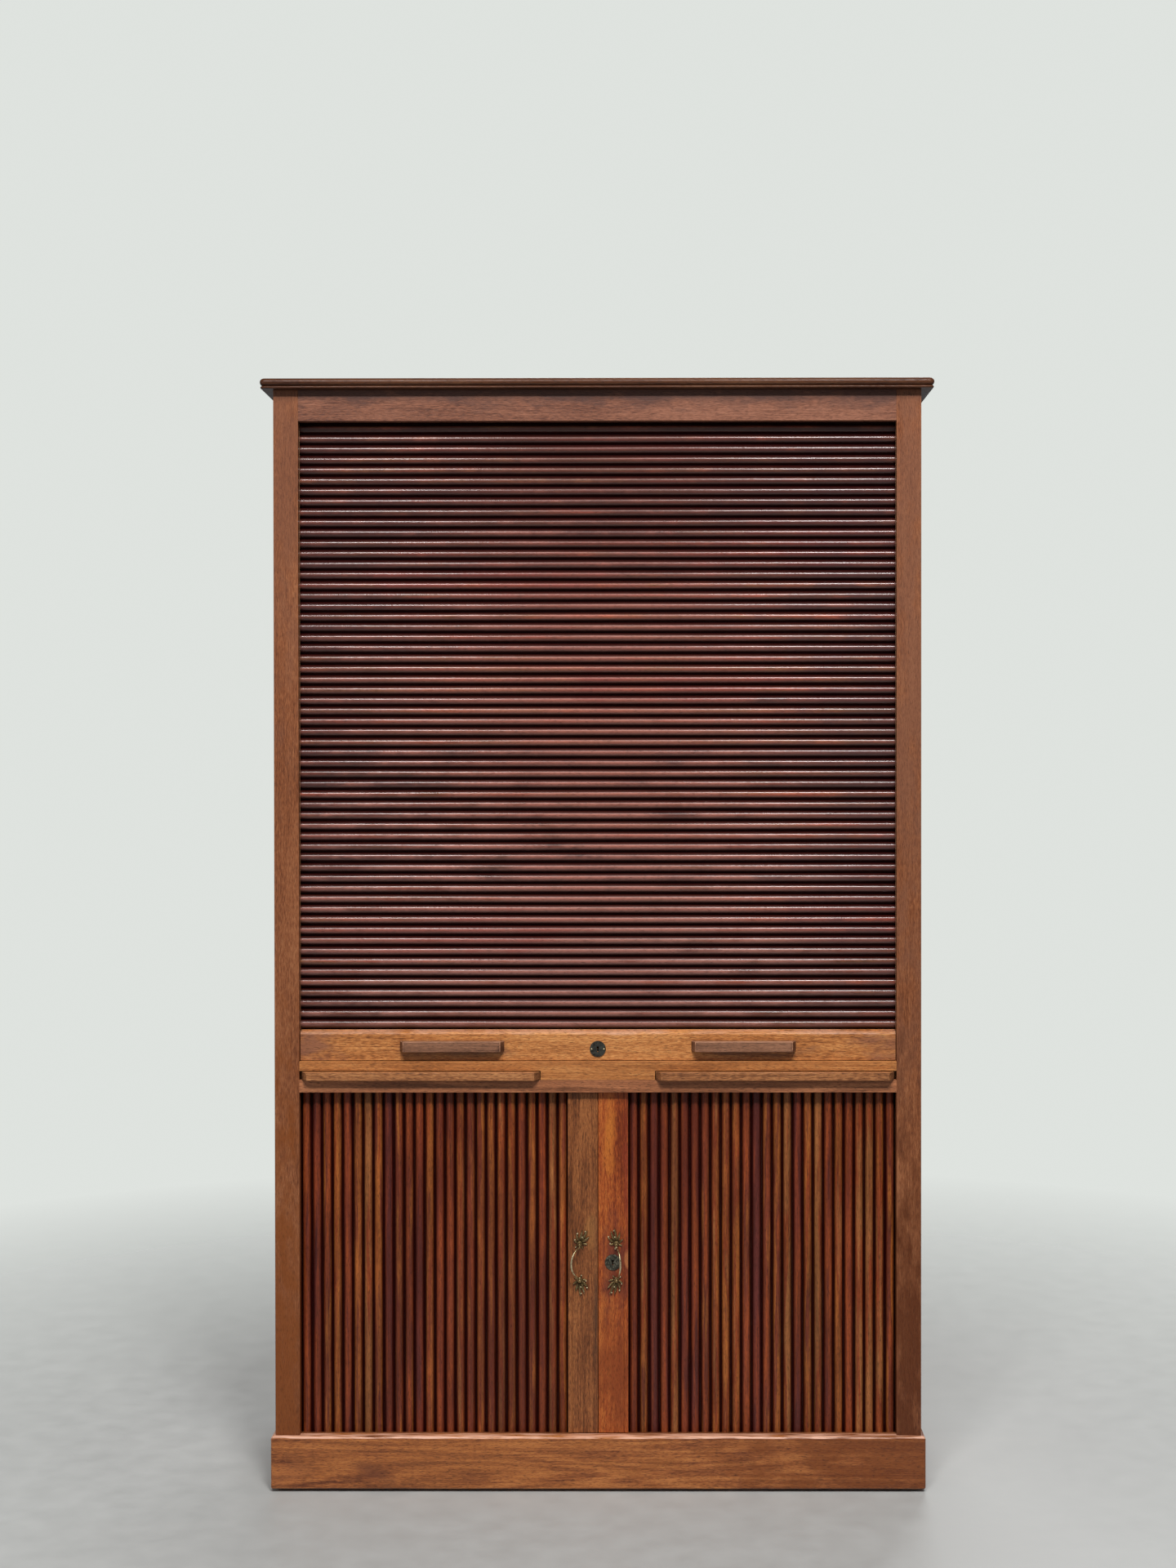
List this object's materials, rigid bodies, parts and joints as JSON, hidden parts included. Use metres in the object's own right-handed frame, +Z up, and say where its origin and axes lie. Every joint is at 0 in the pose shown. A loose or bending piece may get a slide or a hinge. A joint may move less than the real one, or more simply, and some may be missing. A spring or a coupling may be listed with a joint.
{
  "type": "roll-shutter desk cabinet",
  "caption": "Tall wooden desk cabinet: roll-up slatted shutter over a worktop, two pull-out writing slides, and sideways tambour doors with brass bail handles below.",
  "frame": {"origin": "floor level, under the middle of the cabinet's bounding box", "axes": "+Z up, the front with its shutter and doors faces -Y, +X to the right of someone facing it"},
  "size_m": [1.2, 0.45, 1.988],
  "materials": {
    "case_wood": "varnished mahogany-brown, satin",
    "edge_wood": "varnished golden brown, satin",
    "slat_wood": "varnished dark red-brown, glossy crowns",
    "door_slat_wood": "varnished red-brown, satin",
    "lead_wood": "varnished, worn around the handles",
    "inner_wood": "unvarnished or lightly oiled",
    "canvas": "coarse linen canvas, glued",
    "brass": "antique, dark in the hollows",
    "dark_metal": "dark patinated",
    "steel": "dull"
  },
  "bodies": {
    "case": {"top_board": "case_wood", "top_moulding": "case_wood", "left_stile": "case_wood", "right_stile": "case_wood", "top_rail": "case_wood", "left_side": "case_wood", "right_side": "case_wood", "left_track_board": "inner_wood", "right_track_board": "inner_wood", "inner_top": "inner_wood", "inner_back": "inner_wood", "worktop": "edge_wood", "worktop_edge": "edge_wood", "guide_board": "case_wood", "outer_runners": "inner_wood", "inner_runners": "inner_wood", "bottom_board": "case_wood", "plinth_front": "case_wood", "plinth_left": "case_wood", "plinth_right": "case_wood", "plinth_back": "case_wood", "corner_blocks": "inner_wood", "glides": "steel", "upper_back": "inner_wood", "lower_back": "inner_wood", "back_screws": "brass", "left_liner": "inner_wood", "right_liner": "inner_wood", "lower_inner_back": "inner_wood", "upper_shelf_low": "inner_wood", "upper_shelf_high": "inner_wood", "lower_shelf": "inner_wood", "shelf_pegs": "brass", "shutter_slats": "slat_wood", "shutter_canvas": "canvas", "rail_strike": "brass", "left_door_slats": "door_slat_wood", "right_door_slats": "door_slat_wood", "left_canvas": "canvas", "right_canvas": "canvas"},
    "shutter": {"lock_rail": "edge_wood", "left_pull": "case_wood", "right_pull": "case_wood", "rail_key_plate": "dark_metal", "rail_pins": "brass", "rail_lock": "steel"},
    "shutter_bolt": {"rail_bolt": "brass"},
    "left_writing_slide": {"left_slide": "edge_wood", "left_slide_lip": "edge_wood"},
    "right_writing_slide": {"right_slide": "edge_wood", "right_slide_lip": "edge_wood"},
    "left_door": {"left_lead_stile": "lead_wood", "left_rosettes": "brass"},
    "right_door": {"right_lead_stile": "lead_wood", "right_rosettes": "brass", "door_key_plate": "dark_metal", "door_lock": "steel"},
    "door_lock_bolt": {"door_bolt": "brass"},
    "left_handle_bail": {"left_bail": "brass"},
    "right_handle_bail": {"right_bail": "brass"}
  },
  "joints": [
    {"name": "shutter_lift", "type": "slide", "parent": "case", "child": "shutter", "axis": [0, 0, 1], "range_m": [0, 1.09], "deforming": ["shutter_slats", "shutter_canvas"]},
    {"name": "shutter_bolt_throw", "type": "slide", "parent": "shutter", "child": "shutter_bolt", "axis": [0, 0, -1], "range_m": [0, 0.008]},
    {"name": "left_slide_pull", "type": "slide", "parent": "case", "child": "left_writing_slide", "axis": [0, -1, 0], "range_m": [0, 0.29]},
    {"name": "right_slide_pull", "type": "slide", "parent": "case", "child": "right_writing_slide", "axis": [0, -1, 0], "range_m": [0, 0.29]},
    {"name": "left_door_slide", "type": "slide", "parent": "case", "child": "left_door", "axis": [-1, 0, 0], "range_m": [0, 0.479], "deforming": ["left_door_slats", "left_canvas"]},
    {"name": "right_door_slide", "type": "slide", "parent": "case", "child": "right_door", "axis": [1, 0, 0], "range_m": [0, 0.479], "deforming": ["right_door_slats", "right_canvas"]},
    {"name": "door_bolt_throw", "type": "slide", "parent": "right_door", "child": "door_lock_bolt", "axis": [-1, 0, 0], "range_m": [0, 0.008]},
    {"name": "left_bail_swing", "type": "hinge", "parent": "left_door", "child": "left_handle_bail", "pos_m": [-0.033, -0.204, 0.4085], "axis": [0, 0, 1], "range_deg": [-24, 116]},
    {"name": "right_bail_swing", "type": "hinge", "parent": "right_door", "child": "right_handle_bail", "pos_m": [0.033, -0.204, 0.4085], "axis": [0, 0, 1], "range_deg": [-92, 48]}
  ]
}
